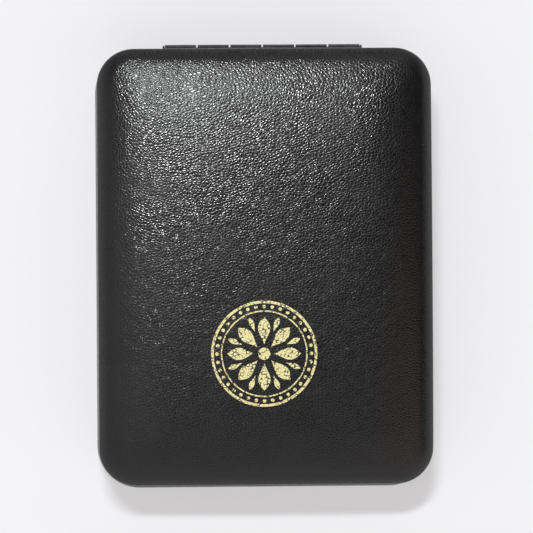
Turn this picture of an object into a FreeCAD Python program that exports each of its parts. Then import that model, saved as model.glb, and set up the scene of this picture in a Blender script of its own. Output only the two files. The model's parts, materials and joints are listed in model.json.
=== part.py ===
"""A cased coin: a hinged clam case of leatherette over pressed steel, with a coin lying in a velvet tray.

Lengths are in millimetres and angles in degrees. +Z is up, +Y points at the hinge, and the origin is the
middle of the underside. The lid is shut and the case lies on a table.
"""

import FreeCAD
import Part

import math
import os
from collections import namedtuple

# Outline of the two halves
base_width = 63.5
base_length = 83.0
base_wall_height = 5.5  # upright part of the base's wall
base_edge_roll = 4.0  # rounding round the underside
base_corner_radius = 8.0
lid_wall_height = 5.0  # upright part of the lid's wall
lid_edge_roll = 6.0  # rounding round the top
lid_corner_radius = 7.0
lid_crown_radius = 400.0
lid_side_step = 0.25  # how far the base shows past the lid at each side
lid_front_step = 0.85  # and at the front
parting_gap = 0.15

# Wall, from the outside in
cover_thickness = 0.5
shell_thickness = 0.5
glue_gap = 0.05
turn_in_depth = 3.0  # leatherette turned over the rim and glued inside

# Hinge
knuckle_count = 6
knuckle_pitch = 6.2
knuckle_gap = 0.3
pin_diameter = 1.6
pin_clearance = 0.05
pin_head_diameter = 2.3
pin_head_thickness = 0.35
pin_end_play = 0.1
leaf_thickness = 0.45
leaf_margin = 1.2  # between the leaf's lip and the rolls of the walls
hinge_clearance = 0.25
opening_angle = 100.0
stop_clearance_angle = 5.0
rivet_shank_diameter = 1.2
rivet_head_diameter = 2.0
rivet_head_height = 0.35
rivet_tail_height = 0.25
rivet_clearance = 0.05

# Snap spring
lip_width = 12.0
lip_reach = 1.3
spring_width = 10.0
spring_thickness = 0.35
spring_reach = 5.2
spring_bend_radius = 4.0
spring_seat_gap = 0.02
spring_end_gap = 0.2

# Tray and coin
coin_diameter = 32.1
coin_thickness = 2.5
coin_rim_width = 1.3
coin_relief = 0.22
coin_petal_count = 8
coin_petal_start = 3.6  # from the middle
coin_petal_margin = 2.2  # from the rim
coin_petal_width = 3.6
coin_clearance = 0.3
coin_recess = 0.2  # coin's face below the velvet
finger_reach = 6.5  # finger gaps past the coin's edge
finger_width = 12.0
tray_recess = 0.5  # velvet below the base's rim
tray_clearance = 0.7  # between the tray and the turned-in leatherette
velvet_thickness = 0.5
well_velvet_gap = 0.1
floor_board_thickness = 1.0
spring_notch_gap = 0.8
riser_margin = 3.0  # from the roll of the base
riser_corner_radius = 3.0
riser_thickness = 1.0

# Lid lining
pad_side_gap = 0.1
pad_top_gap = 0.15
pad_board_thickness = 1.0
wadding_thickness = 2.2
wadding_edge_roll = 1.3
wadding_crown_radius = 1200.0
satin_thickness = 0.3
lining_thickness = 0.7
lining_set_back = 0.8  # lining's edge above the lid's rim

# Allowances of the modelling
smallest_radius = 0.3
overshoot = 1.0  # how far a cutting block runs past what it cuts
tolerance = 1e-6

# Worked out from the sizes above
wall = cover_thickness + glue_gap + shell_thickness
rim_width = wall + glue_gap + cover_thickness
base_roll = min(base_edge_roll, base_corner_radius - smallest_radius)
lid_roll = min(lid_edge_roll, lid_corner_radius - smallest_radius)
barrel_radius = pin_diameter / 2 + pin_clearance + leaf_thickness
hinge_length = knuckle_count * knuckle_pitch - knuckle_gap
hinge_zone = hinge_length + 2 * (pin_end_play + pin_head_thickness + hinge_clearance)
back_y = base_length / 2
axis_y = back_y - wall + barrel_radius - leaf_thickness
axis_z = base_roll + base_wall_height
leaf_y = axis_y - barrel_radius  # leaf's inner face
leaf_depth = min(lid_wall_height, base_wall_height) - leaf_thickness - leaf_margin  # axis to the lip
rivet_distance = (barrel_radius + hinge_clearance + leaf_depth) / 2  # from the hinge axis
spring_front_y = leaf_y - spring_end_gap - spring_reach

across = FreeCAD.Vector(1, 0, 0)
along = FreeCAD.Vector(0, 1, 0)
up = FreeCAD.Vector(0, 0, 1)

Outline = namedtuple("Outline", "width length corner centre_y")
Half = namedtuple("Half", "name side outline rim form")


def inset(outline, distance):
    """The outline pulled in by a distance all round."""
    corner = max(outline.corner - distance, smallest_radius)
    return Outline(outline.width - 2 * distance, outline.length - 2 * distance, corner, outline.centre_y)


base_outline = Outline(base_width, base_length, base_corner_radius, 0.0)
lid_outline = Outline(
    base_width - 2 * lid_side_step, base_length - lid_front_step, lid_corner_radius, lid_front_step / 2
)
lid_crown_rise = (lid_outline.length / 2 - lid_roll) ** 2 / (2 * lid_crown_radius)
lid_top = axis_z + lid_wall_height + lid_roll + lid_crown_rise
lid_rim = axis_z + parting_gap / 2
base_rim = axis_z - parting_gap / 2


def box(x_range, y_range, z_range):
    """A block between the given pairs of limits."""
    low = FreeCAD.Vector(min(x_range), min(y_range), min(z_range))
    high = FreeCAD.Vector(max(x_range), max(y_range), max(z_range))
    size = high - low
    return Part.makeBox(size.x, size.y, size.z, low)


def centred(width):
    """The limits of a width centred on the middle of the case."""
    return (-width / 2, width / 2)


def plate(outline, z_from, z_to):
    """A flat block with a rounded rectangle for its outline."""
    low, high = sorted((z_from, z_to))
    arcs = []
    for sign_x, sign_y, start in ((1, 1, 0), (-1, 1, 90), (-1, -1, 180), (1, -1, 270)):
        x = sign_x * (outline.width / 2 - outline.corner)
        y = outline.centre_y + sign_y * (outline.length / 2 - outline.corner)
        arcs.append(Part.makeCircle(outline.corner, FreeCAD.Vector(x, y, low), up, start, start + 90))
    edges = []
    for arc, following in zip(arcs, arcs[1:] + arcs[:1]):
        edges += [arc, Part.makeLine(arc.Vertexes[-1].Point, following.Vertexes[0].Point)]
    return Part.Face(Part.Wire(edges)).extrude(up * (high - low))


def ring(outline, outer, inner, z_from, z_to):
    """A band that follows the outline, between two insets."""
    hole = plate(inset(outline, inner), min(z_from, z_to) - overshoot, max(z_from, z_to) + overshoot)
    return plate(inset(outline, outer), z_from, z_to).cut(hole)


def crowned_slab(outline, open_z, crown_z, roll, crown_radius):
    """A pillow: flat at open_z, bulging to crown_z in the middle, with its far edge rounded."""
    direction = 1 if crown_z > open_z else -1
    middle = FreeCAD.Vector(0, outline.centre_y, crown_z - direction * crown_radius)
    ball = Part.makeSphere(crown_radius, middle, along)
    ball.rotate(middle, along, 90)  # keeps the ball's poles and seam off the crown
    body = plate(outline, open_z, crown_z + direction * overshoot).common(ball)
    crown = max(body.Faces, key=lambda face: direction * face.CenterOfMass.z)
    return body.makeFillet(min(roll, outline.corner), crown.Edges)


def lid_form(distance, lift):
    """The lid's solid form pulled in by a distance, from a lift above the rim to the crown."""
    return crowned_slab(
        inset(lid_outline, distance),
        lid_rim + lift,
        lid_top - distance,
        lid_roll - distance,
        lid_crown_radius - distance,
    )


def base_form(distance, drop):
    """The base's solid form pulled in by a distance, from its flat underside to a drop below the rim."""
    block = plate(inset(base_outline, distance), distance, base_rim - drop)
    underside = min(block.Faces, key=lambda face: face.CenterOfMass.z)
    return block.makeFillet(base_roll - distance, underside.Edges)


lid = Half("lid", 1, lid_outline, lid_rim, lid_form)
base = Half("base", -1, base_outline, base_rim, base_form)


def hinge_gap(half):
    """What the hinge takes out of one half's back wall: room for the barrel, the leaf and the swing."""
    depth = barrel_radius + hinge_clearance
    notch = box(
        centred(hinge_zone),
        (axis_y - depth, back_y + overshoot),
        (axis_z - half.side * overshoot, axis_z + half.side * depth),
    )
    seat = box(
        centred(hinge_zone),
        (axis_y - depth, back_y - wall),
        (axis_z, half.rim + half.side * (turn_in_depth + overshoot)),
    )
    rise = math.tan(math.radians(opening_angle / 2 + stop_clearance_angle))
    apex_y = axis_y - hinge_clearance
    reach = back_y - apex_y + overshoot
    left = -base_width / 2
    corners = [
        FreeCAD.Vector(left, apex_y, axis_z),
        FreeCAD.Vector(left, apex_y + reach, axis_z),
        FreeCAD.Vector(left, apex_y + reach, axis_z + half.side * reach * rise),
    ]
    bevel = Part.Face(Part.makePolygon(corners + corners[:1])).extrude(across * base_width)
    return notch.fuse([seat, bevel])


def rivet_places(half):
    """Where the rivets cross the leaf's inner face: under the two outer knuckles at each end."""
    z = axis_z + half.side * rivet_distance
    for knuckle in (0, 1, knuckle_count - 2, knuckle_count - 1):
        x = knuckle_middle(knuckle)
        yield FreeCAD.Vector(x, leaf_y, z)


def knuckle_middle(knuckle):
    """The middle of a knuckle along the hinge, counted from the left."""
    return (knuckle - (knuckle_count - 1) / 2) * knuckle_pitch


def rivet_bores(half):
    """Holes for the rivets' shanks through the leaf and the steel wall."""
    radius = rivet_shank_diameter / 2 + rivet_clearance
    length = leaf_thickness + shell_thickness + glue_gap / 2
    return [Part.makeCylinder(radius, length, place, along) for place in rivet_places(half)]


def leatherette_cover(half):
    """The leatherette: one skin over the outside, round the rim and a little way up the inside."""
    skin = half.form(0, 0).cut(half.form(cover_thickness, cover_thickness))
    mouth = plate(
        inset(half.outline, rim_width),
        half.rim - half.side * overshoot,
        half.rim + half.side * (cover_thickness + overshoot),
    )
    turn_in = ring(
        half.outline, rim_width - cover_thickness, rim_width, half.rim, half.rim + half.side * turn_in_depth
    )
    cover = skin.cut(mouth).fuse(turn_in).cut(hinge_gap(half))
    tail_radius = rivet_head_diameter / 2 + rivet_clearance
    tail_depth = leaf_thickness + shell_thickness + rivet_tail_height + rivet_clearance
    tails = [Part.makeCylinder(tail_radius, tail_depth, place, along) for place in rivet_places(half)]
    return cover.cut(tails).removeSplitter()


def pressed_shell(half):
    """The pressed steel shell under the leatherette."""
    set_back = cover_thickness + glue_gap
    shell = half.form(set_back, set_back).cut(half.form(wall, set_back - overshoot))
    return shell.cut(hinge_gap(half)).cut(rivet_bores(half))


def hinge_leaf(half, knuckles):
    """A leaf that lies inside the back wall, rolled into knuckles, with a lip for the spring."""
    y_range = (leaf_y, leaf_y + leaf_thickness)
    root = axis_z + half.side * (barrel_radius + hinge_clearance)
    lip_z = axis_z + half.side * leaf_depth
    flange = box(centred(hinge_length), y_range, (root, lip_z + half.side * leaf_thickness))
    lip = box(
        centred(lip_width),
        (leaf_y - lip_reach, leaf_y + leaf_thickness),
        (lip_z, lip_z + half.side * leaf_thickness),
    )
    leaf = flange.fuse(lip)
    length = knuckle_pitch - knuckle_gap
    for knuckle in knuckles:
        start = FreeCAD.Vector(knuckle_middle(knuckle) - length / 2, axis_y, axis_z)
        barrel = Part.makeCylinder(barrel_radius, length, start, across)
        finger = box((start.x, start.x + length), y_range, (axis_z, root))
        leaf = leaf.fuse([barrel, finger])
    start = FreeCAD.Vector(-hinge_length / 2 - overshoot, axis_y, axis_z)
    bore = Part.makeCylinder(pin_diameter / 2 + pin_clearance, hinge_length + 2 * overshoot, start, across)
    return leaf.cut([bore] + rivet_bores(half)).removeSplitter()


def hinge_rivet(place):
    """A rivet from the leaf to the steel wall: a low head inside, a flat tail under the leatherette."""
    grip = leaf_thickness + shell_thickness
    head_radius = rivet_head_diameter / 2
    shank = Part.makeCylinder(rivet_shank_diameter / 2, grip, place, along)
    head = Part.makeCone(head_radius, rivet_shank_diameter / 2, rivet_head_height, place, along * -1)
    tail = Part.makeCylinder(head_radius, rivet_tail_height, place + along * grip, along)
    return shank.fuse([head, tail]).removeSplitter()


def hinge_pin():
    """The wire pin, with a peened head at each end."""
    length = hinge_length + 2 * pin_end_play
    start = FreeCAD.Vector(-length / 2, axis_y, axis_z)
    pin = Part.makeCylinder(pin_diameter / 2, length, start, across)
    heads = [
        Part.makeCylinder(pin_head_diameter / 2, pin_head_thickness, start, across * -1),
        Part.makeCylinder(pin_head_diameter / 2, pin_head_thickness, start + across * length, across),
    ]
    return pin.fuse(heads).removeSplitter()


def bow(width, y_range, half_height, bend_radius):
    """A block with the two edges at its front rounded, as seen from the side of the hinge."""
    block = box(centred(width), y_range, (axis_z - half_height, axis_z + half_height))
    front = [
        edge
        for edge in block.Edges
        if edge.BoundBox.XLength > tolerance and abs(edge.CenterOfMass.y - min(y_range)) < tolerance
    ]
    return block.makeFillet(bend_radius, front)


def snap_spring():
    """A bowed strip that hooks on both lips and pulls them together, so the lid snaps open and shut."""
    inner_half = leaf_depth + leaf_thickness + spring_seat_gap
    outer_half = inner_half + spring_thickness
    end_y = leaf_y - spring_end_gap
    bend = min(spring_bend_radius, outer_half - smallest_radius)
    outer = bow(spring_width, (spring_front_y, end_y), outer_half, bend)
    inner = bow(
        spring_width + 2 * overshoot,
        (spring_front_y + spring_thickness, end_y + overshoot),
        inner_half,
        bend - spring_thickness,
    )
    return outer.cut(inner)


# Heights in the base, from the rim down to the steel floor
tray_outline = inset(base_outline, rim_width + tray_clearance)
under_velvet = velvet_thickness + glue_gap
tray_top = base_rim - tray_recess
coin_top = tray_top - coin_recess
well_floor = coin_top - coin_thickness
floor_board_top = well_floor - velvet_thickness
floor_board_bottom = floor_board_top - floor_board_thickness
notch_front_y = spring_front_y - spring_notch_gap
coin_radius = coin_diameter / 2
well_radius = coin_radius + coin_clearance


def well(grown, z_from, z_to):
    """The round hole for the coin with a finger gap at each side, grown by a distance."""
    round_hole = Part.makeCylinder(well_radius + grown, z_to - z_from, FreeCAD.Vector(0, 0, z_from), up)
    gap_width = finger_width + 2 * grown
    gap_length = 2 * (well_radius + finger_reach + grown)
    gaps = plate(Outline(gap_length, gap_width, gap_width / 2 - smallest_radius, 0.0), z_from, z_to)
    return round_hole.fuse(gaps).removeSplitter()


def spring_notch(grown):
    """The gap in the tray's back edge that leaves the spring room."""
    return box(
        centred(lip_width + 2 * (spring_notch_gap + grown)),
        (notch_front_y - grown, back_y),
        (0, lid_top),
    )


def tray_block(distance, z_from, z_to):
    """The tray's outline pulled in by a distance, with the spring's notch and the well cut out."""
    block = plate(inset(tray_outline, distance), z_from, z_to).cut(spring_notch(distance))
    return block.cut(well(distance, z_from - overshoot, z_to + overshoot))


def tray_velvet():
    """Velvet over the well board: its top, its outer edge and the wall of the well."""
    sleeve = tray_block(velvet_thickness, floor_board_top - overshoot, tray_top - velvet_thickness)
    return tray_block(0, floor_board_top, tray_top).cut(sleeve)


def well_board():
    """The thick board with the hole for the coin."""
    return tray_block(under_velvet, floor_board_top, tray_top - under_velvet)


def well_velvet():
    """Velvet on the floor of the well, where the coin lies."""
    return well(-well_velvet_gap, floor_board_top, well_floor)


def floor_board():
    """The board under the well."""
    board = plate(inset(tray_outline, under_velvet), floor_board_bottom, floor_board_top)
    return board.cut(spring_notch(under_velvet))


def tray_riser():
    """A folded card frame that holds the tray up off the steel floor."""
    from_edge = base_roll + riser_margin
    front_y = -base_length / 2 + from_edge
    length = notch_front_y - under_velvet - front_y
    outline = Outline(base_width - 2 * from_edge, length, riser_corner_radius, front_y + length / 2)
    return ring(outline, 0, riser_thickness, wall, floor_board_bottom)


def coin():
    """A struck coin: a plain rim and a rosette raised from the field on both faces."""
    disc = Part.makeCylinder(coin_radius, coin_thickness, FreeCAD.Vector(0, 0, well_floor), up)
    field_radius = coin_radius - coin_rim_width
    fields = [
        Part.makeCylinder(field_radius, coin_relief, FreeCAD.Vector(0, 0, coin_top - coin_relief), up),
        Part.makeCylinder(field_radius, coin_relief, FreeCAD.Vector(0, 0, well_floor), up),
    ]
    blank = disc.cut(fields)
    return blank.fuse(rosette(coin_top - coin_relief) + rosette(well_floor)).removeSplitter()


def rosette(z):
    """Petals as high as the relief, each the overlap of two round discs."""
    half_length = (coin_radius - coin_rim_width - coin_petal_margin - coin_petal_start) / 2
    half_width = coin_petal_width / 2
    arc_radius = (half_length**2 + half_width**2) / (2 * half_width)
    petals = []
    for number in range(coin_petal_count):
        left = Part.makeCylinder(arc_radius, coin_relief, FreeCAD.Vector(half_width - arc_radius, 0, z), up)
        right = Part.makeCylinder(arc_radius, coin_relief, FreeCAD.Vector(arc_radius - half_width, 0, z), up)
        petal = left.common(right)
        petal.translate(along * (coin_petal_start + half_length))
        petal.rotate(FreeCAD.Vector(), up, number * 360 / coin_petal_count)
        petals.append(petal)
    return petals


# Heights in the lid, from the crown down to the pad
lining_inset = rim_width + glue_gap
pad_inset = lining_inset + lining_thickness + pad_side_gap
pad_outline = inset(lid_outline, pad_inset)
ceiling_roll = lid_roll - wall  # radius of the rounding inside the steel
ceiling_corner = math.hypot(lid_outline.width / 2 - lid_roll, lid_outline.length / 2 - lid_roll)
roll_overlap = max(lid_roll - pad_inset, 0.0)  # how far the pad reaches under the rounding
roll_drop = ceiling_roll - math.sqrt(ceiling_roll**2 - roll_overlap**2)
crown_drop = ceiling_corner**2 / (2 * lid_crown_radius)
pad_top = lid_top - wall - crown_drop - roll_drop - pad_top_gap
pad_board_bottom = pad_top - pad_board_thickness
wadding_bottom = pad_board_bottom - wadding_thickness
pad_bottom = wadding_bottom - satin_thickness


def pad_board():
    """The stiff card that the padded lining is made on."""
    return plate(inset(pad_outline, satin_thickness + glue_gap), pad_board_bottom, pad_top)


def lid_wadding():
    """The soft filling, crowned towards the coin."""
    outline = inset(pad_outline, satin_thickness + glue_gap)
    crown_radius = wadding_crown_radius - satin_thickness
    return crowned_slab(
        outline, pad_board_bottom, wadding_bottom + glue_gap, wadding_edge_roll, crown_radius
    )


def lid_satin():
    """Satin stretched over the wadding and round the edge of the card."""
    outer = crowned_slab(
        pad_outline, pad_top, pad_bottom, wadding_edge_roll + satin_thickness, wadding_crown_radius
    )
    inner = crowned_slab(
        inset(pad_outline, satin_thickness),
        pad_top + overshoot,
        wadding_bottom,
        wadding_edge_roll,
        wadding_crown_radius - satin_thickness,
    )
    return outer.cut(inner)


def lid_wall_lining():
    """A satin-faced card strip round the inside of the lid's wall, open at the hinge."""
    band = ring(
        lid_outline,
        lining_inset,
        lining_inset + lining_thickness,
        lid_rim + lining_set_back,
        pad_board_bottom,
    )
    hinge_room = box(
        centred(hinge_zone), (axis_y - barrel_radius - spring_reach, back_y), (axis_z, lid_top)
    )
    return band.common(lid_form(wall + glue_gap, 0)).cut(hinge_room)


parts = {
    "base_cover": leatherette_cover(base),
    "base_shell": pressed_shell(base),
    "base_hinge_leaf": hinge_leaf(base, range(1, knuckle_count, 2)),
    "hinge_pin": hinge_pin(),
    "snap_spring": snap_spring(),
    "tray_riser": tray_riser(),
    "floor_board": floor_board(),
    "well_velvet": well_velvet(),
    "well_board": well_board(),
    "tray_velvet": tray_velvet(),
    "coin": coin(),
    "lid_cover": leatherette_cover(lid),
    "lid_shell": pressed_shell(lid),
    "lid_hinge_leaf": hinge_leaf(lid, range(0, knuckle_count, 2)),
    "pad_board": pad_board(),
    "lid_wadding": lid_wadding(),
    "lid_satin": lid_satin(),
    "lid_wall_lining": lid_wall_lining(),
}

for half in (base, lid):
    for number, place in enumerate(rivet_places(half), start=1):
        parts[f"{half.name}_hinge_rivet_{number}"] = hinge_rivet(place)

os.makedirs("parts", exist_ok=True)
for name, shape in parts.items():
    shape.exportStep(os.path.join("parts", name + ".step"))
    print(f"{name}: {len(shape.Solids)} solids, {shape.Volume:.1f} mm3, valid {shape.isValid()}")
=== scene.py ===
import json
import math

import bmesh
import bpy
import numpy as np
from mathutils import Matrix, Quaternion, Vector


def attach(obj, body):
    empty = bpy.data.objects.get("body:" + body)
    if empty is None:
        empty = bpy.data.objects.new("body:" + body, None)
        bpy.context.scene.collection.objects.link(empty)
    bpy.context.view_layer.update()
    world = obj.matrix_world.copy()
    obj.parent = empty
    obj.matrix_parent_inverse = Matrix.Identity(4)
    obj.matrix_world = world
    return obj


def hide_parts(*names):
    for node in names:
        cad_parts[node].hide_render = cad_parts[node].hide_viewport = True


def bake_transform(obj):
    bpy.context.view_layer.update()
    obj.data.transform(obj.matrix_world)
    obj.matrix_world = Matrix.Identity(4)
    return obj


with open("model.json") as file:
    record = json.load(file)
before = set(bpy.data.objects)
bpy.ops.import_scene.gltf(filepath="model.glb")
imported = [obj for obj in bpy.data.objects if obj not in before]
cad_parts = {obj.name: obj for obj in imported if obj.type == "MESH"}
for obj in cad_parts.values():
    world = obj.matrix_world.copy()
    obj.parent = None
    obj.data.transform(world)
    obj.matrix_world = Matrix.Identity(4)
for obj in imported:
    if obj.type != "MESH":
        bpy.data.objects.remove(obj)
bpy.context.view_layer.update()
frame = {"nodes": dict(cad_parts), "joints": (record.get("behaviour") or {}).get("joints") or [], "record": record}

mm = 0.001
scene = bpy.context.scene
lidHinge = next(joint for joint in frame["joints"] if joint["name"] == "lid_hinge")
axisY, axisZ = (value / mm for value in lidHinge["pos_m"][1:])
mergeGap = 0.0005 * mm


# small tools that every piece uses; all points are in millimetres
def meshPiece(name, points, faces, material=None):
    mesh = bpy.data.meshes.new(name)
    mesh.from_pydata([(x * mm, y * mm, z * mm) for x, y, z in points], [], faces)
    if material:
        mesh.materials.append(material)
    piece = bpy.data.objects.new(name, mesh)
    scene.collection.objects.link(piece)
    return piece


def settle(piece):
    # the evaluated shape becomes the plain mesh, and no modifier is left
    graph = bpy.context.evaluated_depsgraph_get()
    shape = bpy.data.meshes.new_from_object(piece.evaluated_get(graph), depsgraph=graph)
    piece.modifiers.clear()
    piece.data = shape
    return piece


def cutWith(piece, cutter):
    cut = piece.modifiers.new("cut", "BOOLEAN")
    cut.operation = "DIFFERENCE"
    cut.solver = "EXACT"
    cut.object = cutter
    settle(piece)
    bpy.data.objects.remove(cutter)


def setFinish(piece, material):
    piece.data.materials.clear()
    piece.data.materials.append(material)


def joinPieces(name, pieces, material):
    # one mesh from several, kept in the first piece
    joined = pieces[0]
    whole = bmesh.new()
    for piece in pieces:
        whole.from_mesh(piece.data)
    whole.to_mesh(joined.data)
    whole.free()
    for piece in pieces[1:]:
        bpy.data.objects.remove(piece)
    joined.name = name
    setFinish(joined, material)
    return joined


def smoothPiece(piece, sharpAngle=38):
    piece.data.shade_smooth()
    piece.data.set_sharp_from_angle(angle=math.radians(sharpAngle))
    return piece


def facesOutward(piece, levels=()):
    # doubles merged, open rings at the given heights filled across, normals outward
    shape = bmesh.new()
    shape.from_mesh(piece.data)
    bmesh.ops.remove_doubles(shape, verts=shape.verts, dist=mergeGap)
    for level in levels:
        rim = [edge for edge in shape.edges if edge.is_boundary
               and all(abs(vertex.co.z - level * mm) < 2 * mergeGap for vertex in edge.verts)]
        bmesh.ops.triangle_fill(shape, edges=rim, use_beauty=True)
    bmesh.ops.recalc_face_normals(shape, faces=shape.faces)
    shape.to_mesh(piece.data)
    shape.free()
    return piece


def dress(piece, body, slot, *nodes):
    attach(piece, body)
    if nodes:
        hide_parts(*nodes)
    return piece


# points on curves, and faces between rings of points
def circle(radius, steps, y=0.0):
    turns = [math.tau * k / steps for k in range(steps)]
    return [(radius * math.cos(turn), y + radius * math.sin(turn)) for turn in turns]


def arcPoints(x, y, radius, start, end, steps):
    turns = np.radians(np.linspace(start, end, steps + 1))
    return [(x + radius * math.cos(turn), y + radius * math.sin(turn)) for turn in turns]


def quarter(steps):
    return [math.radians(angle) for angle in np.linspace(0, 90, steps + 1)]


def bridge(first, second):
    return [(first[k - 1], second[k - 1], second[k], first[k]) for k in range(len(first))]


def ringBands(count, rings):
    faces = []
    for band in range(rings - 1):
        first = list(range(band * count, (band + 1) * count))
        faces += bridge(first, [k + count for k in first])
    return faces


def cappedRings(name, rings, material=None):
    # a closed piece through rings of points, flat at both ends
    count = len(rings[0])
    points = [point for ring in rings for point in ring]
    faces = [list(range(count)), list(range(len(points) - count, len(points)))]
    return facesOutward(meshPiece(name, points, faces + ringBands(count, len(rings)), material))


def ringStack(outline, steps):
    # points and faces of open rings, one for each (inset, height)
    rings = [[(x, y, height) for x, y in outline(inset)] for inset, height in steps]
    return [point for ring in rings for point in ring], ringBands(len(rings[0]), len(rings))


def flatShape(name, outline, low, high):
    return cappedRings(name, [[(x, y, z) for x, y in outline] for z in (low, high)])


# node tools
def put(tree, kind, inputs=None, **settings):
    node = tree.nodes.new(kind)
    for name, value in settings.items():
        setattr(node, name, value)
    for socket, value in (inputs or {}).items():
        if isinstance(value, bpy.types.NodeSocket):
            tree.links.new(value, node.inputs[socket])
        else:
            node.inputs[socket].default_value = value
    return node


def maths(tree, operation, first, second=0.0):
    return put(tree, "ShaderNodeMath", {0: first, 1: second}, operation=operation).outputs[0]


def vectors(tree, operation, first, second):
    socket = "Scale" if operation == "SCALE" else 1
    return put(tree, "ShaderNodeVectorMath", {0: first, socket: second}, operation=operation).outputs[0]


def weighted(tree, first, firstShare, second, secondShare):
    parts = ((first, firstShare), (second, secondShare))
    return maths(tree, "ADD", *(maths(tree, "MULTIPLY", value, share) for value, share in parts))


def remap(tree, value, low, high, toLow=0.0, toHigh=1.0):
    inputs = {"Value": value, "From Min": low, "From Max": high, "To Min": toLow, "To Max": toHigh}
    return put(tree, "ShaderNodeMapRange", inputs, interpolation_type="SMOOTHSTEP").outputs["Result"]


def mixColour(tree, factor, first, second):
    return put(tree, "ShaderNodeMix", {0: factor, 6: first, 7: second}, data_type="RGBA").outputs[2]


def mixValue(tree, factor, first, second):
    return put(tree, "ShaderNodeMix", {0: factor, 2: first, 3: second}, data_type="FLOAT").outputs[0]


def scaledNoise(tree, coords, scale, detail=2.0, roughness=0.5):
    inputs = {"Vector": coords, "Scale": scale, "Detail": detail, "Roughness": roughness}
    return put(tree, "ShaderNodeTexNoise", inputs).outputs


def noise(tree, coords, size, detail=2.0, roughness=0.5):
    return scaledNoise(tree, coords, 1 / (size * mm), detail, roughness)


bandScale = math.pi / 10 / mm  # bands one millimetre apart


def bands(tree, coords, scale, direction, distortion, detail=2.0):
    inputs = {"Vector": coords, "Scale": scale, "Distortion": distortion, "Detail": detail}
    return put(tree, "ShaderNodeTexWave", inputs, wave_type="BANDS", bands_direction=direction).outputs["Fac"]


def stretched(tree, coords, scale, turn=0.0):
    inputs = {"Vector": coords, "Scale": scale, "Rotation": (0, 0, math.radians(turn))}
    return put(tree, "ShaderNodeMapping", inputs).outputs[0]


def newGroup(name, inputs, outputs):
    group = bpy.data.node_groups.new(name, "ShaderNodeTree")
    group.interface.new_socket("Vector", in_out="INPUT", socket_type="NodeSocketVector")
    for label, value in inputs.items():
        group.interface.new_socket(label, in_out="INPUT", socket_type="NodeSocketFloat").default_value = value
    for label in outputs:
        group.interface.new_socket(label, in_out="OUTPUT", socket_type="NodeSocketFloat")
    start = group.nodes.new("NodeGroupInput")
    end = group.nodes.new("NodeGroupOutput")
    return group, start.outputs, end


def newMaterial(name, settings, flat=False):
    material = bpy.data.materials.new(name)
    material.use_nodes = True
    tree = material.node_tree
    shader = tree.nodes["Principled BSDF"]
    for socket, value in settings.items():
        shader.inputs[socket].default_value = value
    places = tree.nodes.new("ShaderNodeTexCoord").outputs
    return material, tree, shader, laidFlat(tree, places) if flat else places["Object"]


def addGroup(tree, group, inputs):
    return put(tree, "ShaderNodeGroup", inputs, node_tree=group).outputs


def feed(tree, node, values):
    for socket, value in values.items():
        tree.links.new(value, node.inputs[socket])


def bumpInto(tree, shader, height, depth):
    bump = put(tree, "ShaderNodeBump", {"Height": height, "Distance": depth * mm, "Strength": 1.0})
    feed(tree, shader, {"Normal": bump.outputs["Normal"]})


# places on a skin laid out flat: a wall is folded outward from the top
def laidFlat(tree, places):
    height = put(tree, "ShaderNodeSeparateXYZ", {0: places["Object"]}).outputs["Z"]
    drop = maths(tree, "SUBTRACT", leatherLook["foldHeight"] * mm, height)
    lean = vectors(tree, "MULTIPLY", places["Normal"], (1, 1, 0))
    plan = vectors(tree, "MULTIPLY", places["Object"], (1, 1, 0))
    return vectors(tree, "ADD", plan, vectors(tree, "SCALE", lean, drop))


# the pressed grain of the leatherette, which the gold foil shows as well
def makePebbleGrain():
    group, given, made = newGroup("pebbleGrain", {"Pebble Size": 0.6, "Rib Spacing": 0.66}, ["Height", "Valley"])
    places = given["Vector"]
    density = maths(group, "DIVIDE", 1 / mm, given["Pebble Size"])
    drift = vectors(group, "SUBTRACT", noise(group, places, 1.8, 1.0)["Color"], (0.5, 0.5, 0.5))
    warped = vectors(group, "ADD", places, vectors(group, "SCALE", drift, 0.7 * mm))
    domes = []
    for turn in (-28, 32):  # the pebbles lie one way in some patches and the other way in the rest
        lying = stretched(group, warped, (0.88, 1.15, 1.0), turn)
        cells = {"Vector": lying, "Scale": density, "Randomness": 0.9}
        middles = put(group, "ShaderNodeTexVoronoi", cells, voronoi_dimensions="2D")
        edges = put(group, "ShaderNodeTexVoronoi", cells, voronoi_dimensions="2D", feature="DISTANCE_TO_EDGE")
        dome = remap(group, middles.outputs["Distance"], 0.0, 0.75, 0.35, 0.0)
        domes.append(maths(group, "ADD", dome, remap(group, edges.outputs["Distance"], 0.0, 0.42, 0.0, 0.65)))
    cloud = noise(group, places, 16.0)["Fac"]
    pebble = mixValue(group, remap(group, cloud, 0.49, 0.51), *domes)
    small = scaledNoise(group, warped, maths(group, "MULTIPLY", density, 2.4), 2.0, 0.6)["Fac"]
    ribs = bands(group, warped, maths(group, "DIVIDE", bandScale, given["Rib Spacing"]), "X", 0.8, 1.0)
    ribShare = remap(group, noise(group, places, 9.0)["Fac"], 0.42, 0.66, 0.04, 0.24)
    height = weighted(group, mixValue(group, ribShare, pebble, ribs), 0.87, small, 0.13)
    feed(group, made, {"Height": height, "Valley": remap(group, height, 0.52, 0.24)})
    return group


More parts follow.
